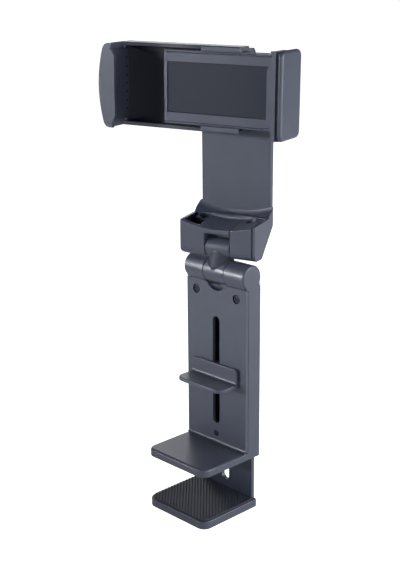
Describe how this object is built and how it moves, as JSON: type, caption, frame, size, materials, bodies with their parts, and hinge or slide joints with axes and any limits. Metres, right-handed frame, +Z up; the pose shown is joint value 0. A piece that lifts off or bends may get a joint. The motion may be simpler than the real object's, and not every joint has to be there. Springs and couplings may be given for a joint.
{
  "type": "phone holder",
  "caption": "Folding phone holder with a table clamp foot, a flat arm, a swivelling two-hinge link and a turning, sliding phone clamp with padded jaws.",
  "frame": {"origin": "on the underside of the lower jaw, below the middle of the arm's front cover", "axes": "+X to the right seen from the front, +Y from the front to the back, +Z up along the arm"},
  "size_m": [0.1013, 0.0555, 0.2296],
  "materials": {
    "slate_plastic": "fine matt moulded slate grey",
    "dark_rubber": "matt soft rubber",
    "pad_rubber": "smooth matt silicone",
    "dark_screw": "dark coated screw",
    "steel_pin": "plain steel"
  },
  "bodies": {
    "arm": {"arm_shell": "slate_plastic", "arm_cover": "slate_plastic", "cover_screws": "dark_screw", "cover_screw_low": "dark_screw", "upper_jaw_pad": "dark_rubber", "hinge_pin_low": "steel_pin"},
    "foot": {"lower_jaw": "slate_plastic", "lower_jaw_pad": "dark_rubber", "thumb_tab": "slate_plastic", "tab_screw": "dark_screw"},
    "link": {"link_knuckle": "slate_plastic"},
    "stem": {"link_stem": "slate_plastic", "swivel_ring": "steel_pin"},
    "head": {"head_shell": "slate_plastic", "head_front_left": "slate_plastic", "head_front_right": "slate_plastic", "tray_screws": "dark_screw", "hinge_pin_up": "steel_pin"},
    "clamp": {"clamp_frame": "slate_plastic", "clamp_back": "slate_plastic", "back_screws": "dark_screw", "phone_pad": "pad_rubber", "right_cap": "slate_plastic", "right_lining": "dark_rubber", "pivot_hub": "slate_plastic", "pivot_cap": "slate_plastic", "pivot_screw": "dark_screw"},
    "jaw": {"left_jaw": "slate_plastic", "left_lining": "dark_rubber", "guide_bars": "slate_plastic", "rail_stop": "slate_plastic"}
  },
  "joints": [
    {"name": "foot_slide", "type": "slide", "parent": "arm", "child": "foot", "axis": [0, 0, 1], "range_m": [-0.022, 0.0205]},
    {"name": "lower_hinge", "type": "hinge", "parent": "arm", "child": "link", "pos_m": [0, 0.0041, 0.1216], "axis": [1, 0, 0], "range_deg": [-90, 90]},
    {"name": "swivel", "type": "hinge", "parent": "link", "child": "stem", "pos_m": [0, 0.0041, 0.12755], "axis": [0, 0, 1], "range_deg": [-106, 74]},
    {"name": "upper_hinge", "type": "hinge", "parent": "stem", "child": "head", "pos_m": [0, 0.0041, 0.1335], "axis": [0.9613, 0.2756, 0], "range_deg": [-45, 90]},
    {"name": "clamp_turn", "type": "hinge", "parent": "head", "child": "clamp", "pos_m": [-0.00386, 0.01756, 0.2085], "axis": [-0.2756, 0.9613, 0], "range_deg": [-45, 180]},
    {"name": "jaw_slide", "type": "slide", "parent": "clamp", "child": "jaw", "axis": [-0.9612, -0.2756, 0.0122], "range_m": [-0.0175, 0.008]}
  ]
}
